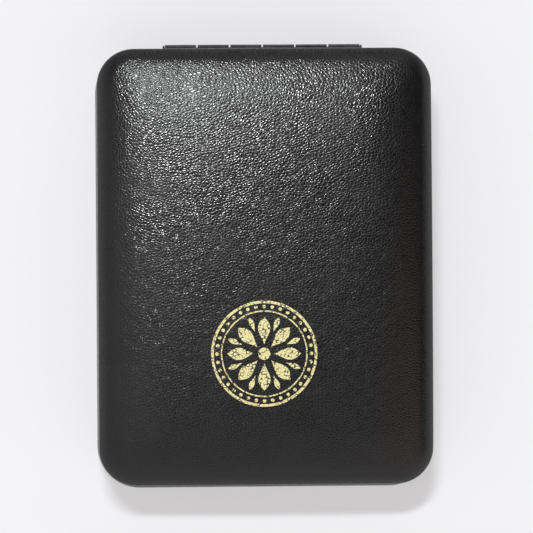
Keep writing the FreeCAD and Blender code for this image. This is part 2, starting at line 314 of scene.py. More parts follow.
# fine scratches and finger smears on metal
def makeHandling():
    group, given, made = newGroup("handling", {"Scratch Length": 6.0}, ["Scratch", "Smear"])
    reach = maths(group, "DIVIDE", 1 / mm, given["Scratch Length"])
    lines = []
    for turn in (17, 71, 128):
        thin = stretched(group, given["Vector"], (1.0, 46.0, 46.0), turn)
        lines.append(remap(group, scaledNoise(group, thin, reach, 1.0)["Fac"], 0.66, 0.72))
    scratch = maths(group, "MAXIMUM", maths(group, "MAXIMUM", lines[0], lines[1]), lines[2])
    smear = scaledNoise(group, given["Vector"], maths(group, "MULTIPLY", reach, 2.0), 4.0, 0.62)["Fac"]
    feed(group, made, {"Scratch": scratch, "Smear": remap(group, smear, 0.35, 0.7)})
    return group


# crossing threads of the satin
def makeThreads():
    group, given, made = newGroup("threads", {"Thread Width": 0.12}, ["Height", "Slub"])
    pace = maths(group, "DIVIDE", bandScale, given["Thread Width"])
    warp = bands(group, given["Vector"], pace, "X", 0.6)
    weft = bands(group, given["Vector"], maths(group, "MULTIPLY", pace, 0.35), "Y", 0.5)
    long = stretched(group, given["Vector"], (1.0, 0.06, 1.0))
    slub = scaledNoise(group, long, maths(group, "MULTIPLY", pace, 0.6))["Fac"]
    feed(group, made, {"Height": weighted(group, warp, 0.7, weft, 0.3), "Slub": remap(group, slub, 0.4, 0.75)})
    return group


pebbleGrain = makePebbleGrain()
handling = makeHandling()
threads = makeThreads()


# dark is painted shade down in the grain's valleys, pale the pebble tops
leatherLook = {"dark": (0.0045, 0.0045, 0.0046, 1), "pale": (0.0095, 0.0095, 0.0095, 1), "pebble": 0.54,
               "rib": 0.66, "depth": 0.029, "glossyTop": 0.19, "dullValley": 0.32, "foldHeight": 22.0}


def leatherGrain(tree, coords):
    sizes = {"Pebble Size": leatherLook["pebble"], "Rib Spacing": leatherLook["rib"]}
    return addGroup(tree, pebbleGrain, {"Vector": coords, **sizes})


def makeLeatherette():
    material, tree, shader, coords = newMaterial("blackLeatherette", {"Roughness": 0.4, "IOR": 1.5}, flat=True)
    grain = leatherGrain(tree, coords)
    wear = noise(tree, coords, 9.0, 3.0, 0.6)["Fac"]
    # painted shade: the colour darkens down in the grain's valleys and is paler on the pebble tops; the wear noise
    # varies it at random in patches
    tone = maths(tree, "MULTIPLY", grain["Height"], remap(tree, wear, 0.3, 0.75, 0.5, 1.0))
    pressed = remap(tree, grain["Valley"], 0.0, 1.0, leatherLook["glossyTop"], leatherLook["dullValley"])
    gloss = maths(tree, "ADD", pressed, remap(tree, wear, 0.3, 0.8, -0.03, 0.05))
    colour = mixColour(tree, tone, leatherLook["dark"], leatherLook["pale"])
    feed(tree, shader, {"Base Color": colour, "Roughness": gloss})
    # long soft creases where the skin was drawn over the shell
    slanted = stretched(tree, coords, (1.0, 0.32, 1.0), -38)
    fold = maths(tree, "SUBTRACT", noise(tree, slanted, 7.0, 2.0, 0.55)["Fac"], 0.5)
    crease = remap(tree, maths(tree, "ABSOLUTE", fold), 0.0, 0.022, 1.0, 0.0)
    rarely = remap(tree, noise(tree, coords, 18.0, 1.0)["Fac"], 0.5, 0.68)
    dent = maths(tree, "MULTIPLY", maths(tree, "MULTIPLY", crease, rarely), 0.5)
    bumpInto(tree, shader, maths(tree, "SUBTRACT", grain["Height"], dent), leatherLook["depth"])
    return material


# deep is the gold darkened as painted shade in the grain's valleys; pit is the bare black leather where the foil
# is worn off
foilLook = {"gold": (0.93, 0.87, 0.45, 1), "deep": (0.8, 0.71, 0.32, 1), "pit": (0.012, 0.012, 0.012, 1),
            "bumpShare": 0.6}


def makeGoldFoil():
    material, tree, shader, coords = newMaterial("stampedGold", {"IOR": 1.5}, flat=True)
    grain = leatherGrain(tree, coords)
    worn = noise(tree, coords, 1.1, 3.0, 0.65)["Fac"]
    bare = maths(tree, "MULTIPLY", remap(tree, grain["Valley"], 0.55, 0.8), remap(tree, worn, 0.44, 0.56))
    # painted shade: the gold turns deeper down in the grain's valleys
    gold = mixColour(tree, grain["Valley"], foilLook["gold"], foilLook["deep"])
    feed(tree, shader, {"Base Color": mixColour(tree, bare, gold, foilLook["pit"]),
                        "Metallic": remap(tree, bare, 0.0, 1.0, 0.1, 0.0),
                        "Roughness": remap(tree, worn, 0.3, 0.7, 0.34, 0.5)})
    bumpInto(tree, shader, grain["Height"], leatherLook["depth"] * foilLook["bumpShare"])
    return material


def makeMetal(name, look):
    material, tree, shader, coords = newMaterial(name, {"Metallic": 1.0, "IOR": 1.5})
    marks = addGroup(tree, handling, {"Vector": coords, "Scratch Length": look["scratch"]})
    smeared = remap(tree, marks["Smear"], 0.0, 1.0, look["shine"], look["shine"] + 0.14)
    rough = maths(tree, "ADD", smeared, maths(tree, "MULTIPLY", marks["Scratch"], 0.1))
    colour = mixColour(tree, marks["Smear"], look["clean"], look["dull"])
    feed(tree, shader, {"Base Color": colour, "Roughness": rough})
    bumpInto(tree, shader, maths(tree, "SUBTRACT", 1.0, marks["Scratch"]), look["depth"])
    return material


# lit is a painted sheen where the pile lies another way, deep the velvet's plain colour
velvetLook = {"deep": (0.008, 0.014, 0.075, 1), "lit": (0.03, 0.05, 0.21, 1), "pile": 0.16, "depth": 0.12,
              "plain": {"Roughness": 0.92, "Sheen Weight": 0.55, "Sheen Roughness": 0.38,
                        "Sheen Tint": (0.34, 0.46, 0.95, 1)}}


def makeVelvet():
    material, tree, shader, coords = newMaterial("blueVelvet", velvetLook["plain"])
    # painted sheen: patches where the pile lies another way are paler; the fine pile noise varies the tone at
    # random
    lie = noise(tree, stretched(tree, coords, (1.0, 0.55, 1.0), 20), 6.5, 3.0, 0.6)["Fac"]
    pile = noise(tree, coords, velvetLook["pile"], 2.0, 0.7)["Fac"]
    tone = weighted(tree, remap(tree, lie, 0.3, 0.72), 0.65, pile, 0.35)
    feed(tree, shader, {"Base Color": mixColour(tree, tone, velvetLook["deep"], velvetLook["lit"])})
    bumpInto(tree, shader, pile, velvetLook["depth"])
    return material


satinLook = {"shade": (0.8, 0.76, 0.66, 1), "light": (0.88, 0.85, 0.77, 1), "thread": 0.13, "depth": 0.015,
             "plain": {"Roughness": 0.36, "Sheen Weight": 0.25, "Sheen Roughness": 0.3, "Anisotropic": 0.5}}


def makeSatin():
    material, tree, shader, coords = newMaterial("ivorySatin", satinLook["plain"])
    weave = addGroup(tree, threads, {"Vector": coords, "Thread Width": satinLook["thread"]})
    tone = weighted(tree, weave["Slub"], 0.35, weave["Height"], 0.4)
    feed(tree, shader, {"Base Color": mixColour(tree, tone, satinLook["shade"], satinLook["light"]),
                        "Roughness": remap(tree, weave["Slub"], 0.0, 1.0, 0.32, 0.46)})
    bumpInto(tree, shader, weave["Height"], satinLook["depth"])
    return material


def makeFibrous(name, look):
    material, tree, shader, coords = newMaterial(name, {"Roughness": 0.85})
    strands = noise(tree, stretched(tree, coords, (1.0, 5.0, 5.0), 31), look["strand"], 3.0, 0.65)["Fac"]
    crossed = noise(tree, stretched(tree, coords, (5.0, 1.0, 5.0), 12), look["strand"], 3.0, 0.65)["Fac"]
    fibre = maths(tree, "MULTIPLY", maths(tree, "ADD", strands, crossed), 0.5)
    feed(tree, shader, {"Base Color": mixColour(tree, remap(tree, fibre, 0.35, 0.65), look["dark"], look["pale"]),
                        "Roughness": remap(tree, fibre, 0.3, 0.7, 0.78, 0.94)})
    bumpInto(tree, shader, fibre, look["depth"])
    return material


steelLook = {"dark": (0.17, 0.17, 0.18, 1), "pale": (0.25, 0.25, 0.26, 1), "bare": (0.42, 0.42, 0.41, 1),
             "scratch": 9.0, "peel": 0.5, "depth": 0.02}


def makePressedSteel():
    material, tree, shader, coords = newMaterial("primedSteel", {"Roughness": 0.55})
    marks = addGroup(tree, handling, {"Vector": coords, "Scratch Length": steelLook["scratch"]})
    peel = noise(tree, coords, steelLook["peel"])["Fac"]
    painted = mixColour(tree, peel, steelLook["dark"], steelLook["pale"])
    feed(tree, shader, {"Base Color": mixColour(tree, marks["Scratch"], painted, steelLook["bare"]),
                        "Roughness": remap(tree, marks["Smear"], 0.0, 1.0, 0.48, 0.66)})
    bumpInto(tree, shader, peel, steelLook["depth"])
    return material


leatherette = makeLeatherette()
goldFoil = makeGoldFoil()
velvet = makeVelvet()
satin = makeSatin()
hingeMetal = makeMetal("hingeMetal", {"clean": (0.1, 0.1, 0.105, 1), "dull": (0.065, 0.065, 0.07, 1),
                                      "shine": 0.14, "scratch": 4.0, "depth": 0.006})
rivetMetal = makeMetal("rivetAluminium", {"clean": (0.74, 0.74, 0.74, 1), "dull": (0.55, 0.55, 0.54, 1),
                                          "shine": 0.32, "scratch": 1.5, "depth": 0.006})
springSteel = makeMetal("blueSpringSteel", {"clean": (0.34, 0.36, 0.42, 1), "dull": (0.22, 0.22, 0.24, 1),
                                            "shine": 0.26, "scratch": 5.0, "depth": 0.006})
coinGold = makeMetal("coinGold", {"clean": (0.86, 0.62, 0.23, 1), "dull": (0.66, 0.43, 0.13, 1), "shine": 0.17,
                                  "scratch": 7.0, "depth": 0.004})
greyCard = makeFibrous("greyCard", {"dark": (0.3, 0.285, 0.26, 1), "pale": (0.47, 0.45, 0.415, 1), "strand": 0.8,
                                    "depth": 0.04})
wadding = makeFibrous("whiteWadding", {"dark": (0.72, 0.72, 0.7, 1), "pale": (0.92, 0.92, 0.9, 1), "strand": 1.6,
                                       "depth": 0.25})
primedSteel = makePressedSteel()
print("finishes made:", len(bpy.data.materials))


# copies of one small shape, in a row or round a middle
def makeCopiesTree():
    tree = bpy.data.node_groups.new("copiesInOrder", "GeometryNodeTree")
    kinds = {"Geometry": "Geometry", "Copies": "Int", "Offset": "Vector", "Turn": "Float", "Finish": "Material"}
    for label, kind in kinds.items():
        tree.interface.new_socket(label, in_out="INPUT", socket_type="NodeSocket" + kind)
    tree.interface.new_socket("Geometry", in_out="OUTPUT", socket_type="NodeSocketGeometry")
    given = tree.nodes.new("NodeGroupInput").outputs
    angle = maths(tree, "MULTIPLY", tree.nodes.new("GeometryNodeInputIndex").outputs[0], given["Turn"])
    turn = put(tree, "ShaderNodeCombineXYZ", {"Z": angle}).outputs[0]
    spots = put(tree, "GeometryNodeMeshLine", {"Count": given["Copies"], "Offset": given["Offset"]})
    placed = put(tree, "GeometryNodeInstanceOnPoints", {"Points": spots.outputs[0], "Instance": given["Geometry"],
                                                        "Rotation": turn})
    real = put(tree, "GeometryNodeRealizeInstances", {"Geometry": placed.outputs[0]})
    finished = put(tree, "GeometryNodeSetMaterial", {"Geometry": real.outputs[0], "Material": given["Finish"]})
    feed(tree, tree.nodes.new("NodeGroupOutput"), {"Geometry": finished.outputs[0]})
    return tree


copiesTree = makeCopiesTree()


def setCopies(piece, copies, material, offset=(0, 0, 0), turn=0.0):
    order = piece.modifiers.new("copies", "NODES")
    order.node_group = copiesTree
    values = {"Copies": copies, "Offset": [value * mm for value in offset], "Turn": turn, "Finish": material}
    for item in copiesTree.interface.items_tree:
        if item.in_out == "INPUT" and item.name in values:
            order[item.identifier] = values[item.name]
    return settle(piece)


def setRound(piece, copies, material):
    return setCopies(piece, copies, material, turn=math.tau / copies)


# a rounded rectangle as a grid: the outer lines follow the corners, plain lines fill the middle
def planGrid(halfX, halfY, corner, insets, across, along):
    def lines(half, count):
        edge = [half - inset for inset in insets]
        middle = np.linspace(corner - half, half - corner, count + 1)[1:-1]
        return np.array([-value for value in edge] + list(middle) + edge[::-1])

    x, y = np.meshgrid(lines(halfX, across), lines(halfY, along), indexing="ij")
    a = np.abs(x) - (halfX - corner)
    b = np.abs(y) - (halfY - corner)
    inCorner = (a > 1e-9) & (b > 1e-9)
    far = np.maximum(a, b)
    turn = np.pi / 4 * np.where(inCorner, np.minimum(a, b) / np.where(inCorner, far, 1), 0)
    u = np.where(a >= b, far * np.cos(turn), far * np.sin(turn))
    v = np.where(a >= b, far * np.sin(turn), far * np.cos(turn))
    sideX, sideY = np.sign(x), np.sign(y)
    outX = np.where(inCorner, sideX * u / np.where(inCorner, far, 1), np.where(a >= b, sideX, 0))
    outY = np.where(inCorner, sideY * v / np.where(inCorner, far, 1), np.where(a >= b, 0, sideY))
    x = np.where(inCorner, sideX * (halfX - corner + u), x)
    y = np.where(inCorner, sideY * (halfY - corner + v), y)
    return {"x": x, "y": y, "inset": corner - far, "outX": outX, "outY": outY}


def edgeInsets(roll, corner, fine, coarse):
    # lines close together over the rolled edge, then wider apart up to the corner's middle
    rolled = [roll * (1 - math.cos(bend)) for bend in quarter(fine)]
    return rolled + list(np.linspace(roll, corner, coarse + 1)[1:])


def gridFaces(rows, columns, start=0):
    index = np.arange(rows * columns).reshape(rows, columns) + start
    quads = np.stack([index[:-1, :-1], index[1:, :-1], index[1:, 1:], index[:-1, 1:]], axis=-1).reshape(-1, 4)
    rim = np.concatenate([index[:-1, 0], index[-1, :-1], index[:0:-1, -1], index[0, :0:-1]])
    return quads.tolist(), rim.tolist()


# height over the rim of a crowned form whose edge is rolled; a level crown has no radius
def formHeight(form, plan, under):
    roll = form["roll"] - under
    top = form["height"] - under
    back = np.clip(roll - plan["inset"], 0, roll)
    ballX = plan["x"] - plan["outX"] * back
    ballY = plan["y"] - plan["outY"] * back
    if form["crownRadius"] is None:
        return np.where(back > 0, top - roll + np.sqrt(roll**2 - back**2), top)
    crownRadius = form["crownRadius"] - under
    crown = top - crownRadius + np.sqrt(crownRadius**2 - plan["x"] ** 2 - plan["y"] ** 2)
    ball = top - crownRadius + np.sqrt((crownRadius - roll) ** 2 - ballX**2 - ballY**2)
    lean = (ballX * plan["outX"] + ballY * plan["outY"]) / (crownRadius - roll)
    rolled = plan["inset"] < roll * (1 - lean)
    return np.where(rolled, ball + np.sqrt(roll**2 - back**2), crown)


# the lid swells like a pillow: almost level in the middle, then steeper and steeper to a round shoulder
def swellHeight(form, x, y, inset):
    power = form["swellPower"]
    steepX, steepY = (form["swellSlope"] * half / power * (np.abs(at) / half) ** power
                      for at, half in ((x, form["swellX"]), (y, form["swellY"])))
    turned = np.clip(form["shoulderWidth"] - inset, 0, form["shoulderWidth"])
    shoulder = form["shoulder"] - np.sqrt(form["shoulder"] ** 2 - turned**2)
    return form["height"] - (x**2 + y**2) / (2 * form["swellRadius"]) - np.hypot(steepX, steepY) - shoulder


def pillowHeight(form, plan):
    roll, step = form["edgeRoll"], 0.02
    back = np.clip(roll - plan["inset"], 0, roll)

    def heightAt(far):
        x, y = plan["x"] + plan["outX"] * far, plan["y"] + plan["outY"] * far
        return swellHeight(form, x, y, plan["inset"] - far)

    lean = 0.0
    for _ in range(8):  # the edge's ball touches the crown a little further out than its own middle
        touch = heightAt(roll * lean - back)
        slope = (heightAt(roll * lean - back - step) - touch) / step
        lean = (lean + slope / np.sqrt(1 + slope**2)) / 2
    middle = touch - roll * np.sqrt(1 - lean**2)
    rolled = plan["inset"] < roll * (1 - lean)
    return np.where(rolled, middle + np.sqrt(roll**2 - back**2), heightAt(0))


# leatherette drawn over a pressed shell, round its rim and a little way up the inside
def leatherSkin(name, form):
    insets = edgeInsets(form.get("edgeRoll", form["roll"]), form["corner"], 12, 13)
    points = []
    plans = []
    for under in (0, form["thickness"]):
        corner = form["corner"] - under
        narrowed = [inset * (corner / form["corner"]) for inset in insets]
        plan = planGrid(form["width"] / 2 - under, form["length"] / 2 - under, corner, narrowed, 48, 66)
        pillow = "edgeRoll" in form and not under
        height = pillowHeight(form, plan) if pillow else formHeight(form, plan, under)
        points += list(zip(plan["x"].ravel(), plan["y"].ravel() + form["middleY"], height.ravel()))
        plans.append(plan)
    rows, columns = plans[0]["x"].shape
    faces, outerRim = gridFaces(rows, columns)
    innerFaces, innerRim = gridFaces(rows, columns, rows * columns)
    faces += [face[::-1] for face in innerFaces]
    # rings from the foot of the roll down the wall, round the rim and up inside
    thick, wrap, turnIn = form["thickness"], form["wrap"], form["turnIn"]
    edge, tall, inside, eased = form["rimRound"], form["rimTall"], form["rimInside"], form["hemEdge"]
    bends = quarter(6)
    ground = np.array(points)[outerRim]
    steps = [(0, ground[:, 2] * (1 - share) + tall * share) for share in (0.25, 0.5, 0.75)]
    steps += [(edge * (1 - math.cos(bend)), tall * (1 - math.sin(bend))) for bend in bends]
    steps += [(wrap - inside + inside * math.sin(bend), inside * (1 - math.cos(bend))) for bend in bends]
    steps += [(wrap, turnIn - eased), (wrap - eased, turnIn), (wrap - thick, turnIn)]
    steps += [(wrap - thick, thick), (thick, thick)]
    outX, outY = (plans[0][axis].ravel()[outerRim] for axis in ("outX", "outY"))
    last = outerRim
    for inset, height in steps:
        ring = list(range(len(points), len(points) + len(outerRim)))
        heights = np.broadcast_to(height, outX.shape)
        points += list(zip(ground[:, 0] - outX * inset, ground[:, 1] - outY * inset, heights))
        faces += bridge(last, ring)
        last = ring
    faces += bridge(last, innerRim)
    side = form["side"]
    points = [(x, y, form["rim"] + side * z) for x, y, z in points]
    if side < 0:
        faces = [face[::-1] for face in faces]
    return meshPiece(name, points, faces, leatherette)


def hingeBlock(outline, width):
    # a cutting block along the hinge, from an outline in y and z
    return cappedRings("hingeBlock", [[(x, y, z) for y, z in outline] for x in (-width / 2, width / 2)])


hingeGap = {"zone": 38.3, "depth": 1.55, "seatBack": 40.45, "bevelApex": 41.05, "bevelAngle": 55.0, "spare": 1.0}


def openForHinge(piece, form):
    side, spare = form["side"], hingeGap["spare"]
    front, back = axisY - hingeGap["depth"], form["middleY"] + form["length"] / 2 + 2 * spare
    near, deep = axisZ - side * spare, axisZ + side * hingeGap["depth"]
    notch = [(front, near), (back, near), (back, deep), (front, deep)]
    seatTop = form["rim"] + side * (form["turnIn"] + spare)
    seat = [(front, axisZ), (hingeGap["seatBack"], axisZ), (hingeGap["seatBack"], seatTop), (front, seatTop)]
    reach = back - hingeGap["bevelApex"]
    rise = side * reach * math.tan(math.radians(hingeGap["bevelAngle"]))
    bevel = [(hingeGap["bevelApex"], axisZ), (back, axisZ), (back, axisZ + rise)]
    wide = form["width"] + 4 * spare
    for outline, width in ((notch, hingeGap["zone"]), (seat, hingeGap["zone"]), (bevel, wide)):
        cutWith(piece, hingeBlock(outline, width))
    return smoothPiece(piece)


skin = {"thickness": 0.5, "wrap": 1.6, "turnIn": 3.0, "hemEdge": 0.12}
lidForm = {"width": 63.0, "length": 82.15, "middleY": 0.425, "corner": 7.0, "roll": 6.0, "crownRadius": 400.0,
           "swellRadius": 550.0, "swellSlope": 0.082, "swellPower": 7, "swellX": 23.9, "swellY": 34.1,
           "shoulder": 4.6, "shoulderWidth": 3.0, "edgeRoll": 0.8, "rim": 9.575, "height": 12.463, "side": 1,
           "rimRound": 0.3, "rimTall": 0.3, "rimInside": 0.3, **skin}
baseForm = {"width": 63.5, "length": 83.0, "middleY": 0.0, "corner": 8.0, "roll": 4.0, "crownRadius": None,
            "rim": 9.425, "height": 9.425, "side": -1, "rimRound": 0.8, "rimTall": 3.2, "rimInside": 0.4,
            **skin}

lidSkin = openForHinge(leatherSkin("lidSkin", lidForm), lidForm)
dress(lidSkin, "lid", "leatherette", "lid_cover")
baseSkin = openForHinge(leatherSkin("baseSkin", baseForm), baseForm)
dress(baseSkin, "base", "leatherette", "base_cover")
print("leatherette skins:", len(lidSkin.data.polygons), "and", len(baseSkin.data.polygons), "faces")


# gold stamp on the crown: a round medallion of rings, beads and petals
stamp = {"x": -0.5, "y": -15.9, "outerRing": 9.7, "outerWidth": 0.5, "innerRing": 8.0, "innerWidth": 0.26,
         "beads": 36, "beadRing": 8.85, "beadSize": 0.34, "petals": 8, "petalStart": 1.75, "petalEnd": 6.9,
         "petalWidth": 2.3, "dartStart": 4.3, "dartEnd": 7.3, "dartWidth": 1.0, "eye": 1.15, "thickness": 0.02,
         "lift": 0.006}


def flatRing(name, radius, width, thickness, steps=120):
    inner, outer = radius - width / 2, radius + width / 2
    section = [(inner, 0), (outer, 0), (outer, thickness), (inner, thickness)]
    points = [(x, y, z) for r, z in section for x, y in circle(r, steps)]
    faces = ringBands(steps, 4) + bridge(list(range(3 * steps, 4 * steps)), list(range(steps)))
    return facesOutward(meshPiece(name, points, faces))


def lensOutline(start, end, width, steps, lean):
    # a leaf-shaped outline along +Y, fuller towards its outer end
    rise = [k / steps for k in range(steps + 1)]
    right = [(width / 2 * math.sin(math.pi * t ** (1 + lean)), start + (end - start) * t) for t in rise]
    return right + [(-x, y) for x, y in right[-2:0:-1]]


def makeStamp():
    thin = stamp["thickness"]
    parts = [flatRing("stampRing", stamp["outerRing"], stamp["outerWidth"], thin),
             flatRing("stampLine", stamp["innerRing"], stamp["innerWidth"], thin)]
    bead = circle(stamp["beadSize"], 12, stamp["beadRing"])
    petal = lensOutline(stamp["petalStart"], stamp["petalEnd"], stamp["petalWidth"], 14, 0.35)
    dart = lensOutline(stamp["dartStart"], stamp["dartEnd"], stamp["dartWidth"], 10, 0.6)
    half = math.pi / stamp["petals"]
    turned = [(x * math.cos(half) - y * math.sin(half), x * math.sin(half) + y * math.cos(half)) for x, y in dart]
    for name, outline, copies in (("stampBead", bead, stamp["beads"]), ("stampPetal", petal, stamp["petals"]),
                                  ("stampDart", turned, stamp["petals"])):
        parts.append(setRound(flatShape(name, outline, 0, thin), copies, goldFoil))
    parts.append(flatShape("stampEye", circle(stamp["eye"], 24), 0, thin))
    whole = joinPieces("goldStamp", parts, goldFoil)
    for vertex in whole.data.vertices:
        x = vertex.co.x / mm + stamp["x"]
        y = vertex.co.y / mm + stamp["y"]
        crown = float(swellHeight(lidForm, x, y - lidForm["middleY"], lidForm["shoulderWidth"]))
        vertex.co = Vector((x, y, lidForm["rim"] + crown + stamp["lift"] + vertex.co.z / mm)) * mm
    return smoothPiece(whole, 30)


goldStamp = dress(makeStamp(), "lid", "leatherette")
print("gold stamp:", len(goldStamp.data.polygons), "faces")


tray = {"halfWidth": 29.45, "halfLength": 39.2, "corner": 5.7, "leastCorner": 0.3, "notchHalf": 6.8,
        "notchFront": 33.8, "top": 8.925, "bottom": 5.725, "cloth": 0.5, "edgeRound": 0.7, "flatStart": 0.12,
        "wellRadius": 16.35, "fingerReach": 22.85, "fingerHalf": 6.0, "fingerCorner": 5.7, "floorGap": 0.1,
        "floorTop": 6.225, "floorEdge": 0.18}


# outlines in the plane, each with the same count of points at every inset, so that rings can be joined
def trayOutline(inset):
    halfX, halfY = tray["halfWidth"] - inset, tray["halfLength"] - inset
    corner = max(tray["corner"] - inset, tray["leastCorner"])
    notch, front = tray["notchHalf"] + inset, tray["notchFront"] - inset
    points = []
    for signX, signY, start in ((1, 1, 0), (-1, 1, 90), (-1, -1, 180), (1, -1, 270)):
        points += arcPoints(signX * (halfX - corner), signY * (halfY - corner), corner, start, start + 90, 10)
        if start == 0:
            points += [(notch, halfY), (notch, front), (-notch, front), (-notch, halfY)]
    return points


def wellOutline(grown):
    radius, reach = tray["wellRadius"] + grown, tray["fingerReach"] + grown
    half, corner = tray["fingerHalf"] + grown, tray["fingerCorner"] + grown
    meets = math.degrees(math.asin(half / radius))
    points = []
    for side, turn in ((-1, 0), (1, 180)):
        points += arcPoints(0, 0, radius, turn + meets, turn + 180 - meets, 48)
        for end, start in ((-side, turn + 90), (side, turn + 180)):
            points += arcPoints(side * (reach - corner), end * (half - corner), corner, start, start + 90, 10)
    return points


# velvet over the well board: top, outer edge and the wall of the well, hollow underneath
def makeTrayVelvet():
    soft, cloth, top, bottom = tray["edgeRound"], tray["cloth"], tray["top"], tray["bottom"]
    bends = quarter(7)
    rolled = [(soft * (1 - math.cos(bend)), top - soft * (1 - math.sin(bend))) for bend in bends]
    layers = {"trayOutside": [(0, bottom)] + rolled + [(soft + tray["flatStart"], top)],
              "trayInside": [(cloth, bottom), (cloth, top - cloth)],
              "trayHem": [(0, bottom), (cloth, bottom)]}
    pieces = [meshPiece(name, *ringStack(outline, steps))
              for outline in (trayOutline, wellOutline) for name, steps in layers.items()]
    whole = joinPieces("trayVelvet", pieces, velvet)
    return smoothPiece(facesOutward(whole, (top, top - cloth)), 50)


def makeWellVelvet():
    edge, grow, top, bottom = tray["floorEdge"], -tray["floorGap"], tray["floorTop"], tray["bottom"]
    steps = [(grow, bottom), (grow, top - edge), (grow - 0.3 * edge, top - 0.3 * edge), (grow - edge, top)]
    piece = meshPiece("wellVelvet", *ringStack(wellOutline, steps), velvet)
    return smoothPiece(facesOutward(piece, (bottom, top)), 50)


trayVelvet = dress(makeTrayVelvet(), "base", "velvet", "tray_velvet")
wellVelvet = dress(makeWellVelvet(), "base", "velvet", "well_velvet")
print("velvet tray:", len(trayVelvet.data.polygons) + len(wellVelvet.data.polygons), "faces")


# struck coin: turned blank with a rim on both faces, reeded edge, a ring of beads and a rosette
coin = {"radius": 16.05, "bottom": 6.225, "thickness": 2.5, "rim": 1.3, "relief": 0.22, "edgeRound": 0.2,
        "reeds": 132, "reedDepth": 0.12, "reedShare": 0.36, "reedEnd": 0.3, "beads": 84, "beadRing": 13.95,
        "beadSize": 0.3, "petals": 8, "petalStart": 3.6, "petalEnd": 12.55, "petalWidth": 3.6, "eye": 2.1,
        "eyeRelief": 0.8}


def turnedBlank(steps=144):
    half = coin["thickness"] / 2
    middle = coin["bottom"] + half
    field, inner, edge = half - coin["relief"], coin["radius"] - coin["rim"], coin["edgeRound"]
    radius, eye = coin["radius"] - coin["reedDepth"], coin["eyeRelief"] * coin["relief"]
    bends = quarter(3)
    profile = [(coin["eye"] * math.sin(bend), field + eye * math.cos(bend)) for bend in bends[1:]]
    # the field turns up in a soft slope to the rim
    profile += [(inner - 0.5, field), (inner - 0.16, field + 0.03), (inner, half - 0.04), (inner + 0.08, half)]
    profile += [(radius - edge + edge * math.sin(bend), half - edge + edge * math.cos(bend)) for bend in bends]
    profile += [(r, -z) for r, z in profile[::-1]]
    points = [(x, y, middle + z) for r, z in profile for x, y in circle(r, steps)]
    last = len(points) - steps
    points += [(0, 0, middle + field + eye), (0, 0, middle - field - eye)]
    faces = ringBands(steps, len(profile))
    faces += [(len(points) - 2, (k + 1) % steps, k) for k in range(steps)]
    faces += [(len(points) - 1, last + k, last + (k + 1) % steps) for k in range(steps)]
    return facesOutward(meshPiece("coinBlank", points, faces))


def coinReed():
    width = math.tau * coin["radius"] / coin["reeds"] * coin["reedShare"]
    outer, inner = coin["radius"], coin["radius"] - coin["reedDepth"] - 0.05
    side, top = width * 0.7, outer - 0.03
    section = [(-width, inner), (-side, top), (0, outer), (side, top), (width, inner)]
    low, high = coin["bottom"] + coin["reedEnd"], coin["bottom"] + coin["thickness"] - coin["reedEnd"]
    return flatShape("coinReed", section, low, high)


def coinBead(level, up, steps=8):
    # a low dome: each ring has its share of the bead's size and its height over the field
    rings = [(1.0, -0.03), (0.9, 0.09), (0.55, 0.17)]
    points = [(x, y, level + up * height) for share, height in rings
              for x, y in circle(coin["beadSize"] * share, steps, coin["beadRing"])]
    last, tip = 2 * steps, 3 * steps
    points.append((0, coin["beadRing"], level + up * 0.2))
    faces = [list(range(steps))] + ringBands(steps, 3)
    faces += [(last + k, last + (k + 1) % steps, tip) for k in range(steps)]
    return facesOutward(meshPiece("coinBead", points, faces))


def coinPetal(level, up, rows=16, columns=8):
    # a domed leaf with a fine groove down its middle
    start, length, sunk = coin["petalStart"], coin["petalEnd"] - coin["petalStart"], 0.02
    points = []
    for row in range(rows + 1):
        along = row / rows
        swell = math.sin(math.pi * along)
        half = coin["petalWidth"] / 2 * swell + 0.02
        for column in range(columns + 1):
            side = 2 * column / columns - 1
            dome = math.sqrt(max(0, 1 - side**2)) * swell**0.5
            groove = 0.3 * math.exp(-((side / 0.16) ** 2)) * swell
            height = coin["relief"] * (dome - groove) - sunk
            points.append((half * side, start + length * along, level + up * height))
    top, rim = gridFaces(rows + 1, columns + 1)
    return facesOutward(meshPiece("coinPetal", points, top + [rim]))


def makeCoin():
    parts = [turnedBlank(), setRound(coinReed(), coin["reeds"], coinGold)]
    for up, face in ((1, coin["bottom"] + coin["thickness"]), (-1, coin["bottom"])):
        level = face - up * coin["relief"]
        parts.append(setRound(coinBead(level, up), coin["beads"], coinGold))
        parts.append(setRound(coinPetal(level, up), coin["petals"], coinGold))
    return smoothPiece(joinPieces("struckCoin", parts, coinGold), 40)


struckCoin = dress(makeCoin(), "coin", "coin_metal", "coin")
print("coin:", len(struckCoin.data.polygons), "faces")


# hinge leaves: sheet rolled into knuckles, with a lip for the spring
hinge = {"sheet": 0.45, "barrel": 1.3, "pitch": 6.2, "gap": 0.3, "knuckles": 6, "root": 1.55, "lip": 3.35,
         "lipHalf": 6.0, "lipReach": 1.3, "overlap": 0.2, "edge": 0.07, "ease": 0.007, "seam": 24}


def sheetSection(name, outline, xFrom, xTo):
    # a sheet with its section in y and z, drawn along the hinge, its ends a touch smaller
    middleY, middleZ = (sum(values) / len(outline) for values in zip(*outline))
    edge, ease = hinge["edge"], hinge["ease"]
    ends = ((xFrom, ease), (xFrom + edge, 0), (xTo - edge, 0), (xTo, ease))
    rings = [[(x, y + (middleY - y) * pull, z + (middleZ - z) * pull) for y, z in outline] for x, pull in ends]
    return cappedRings(name, rings)


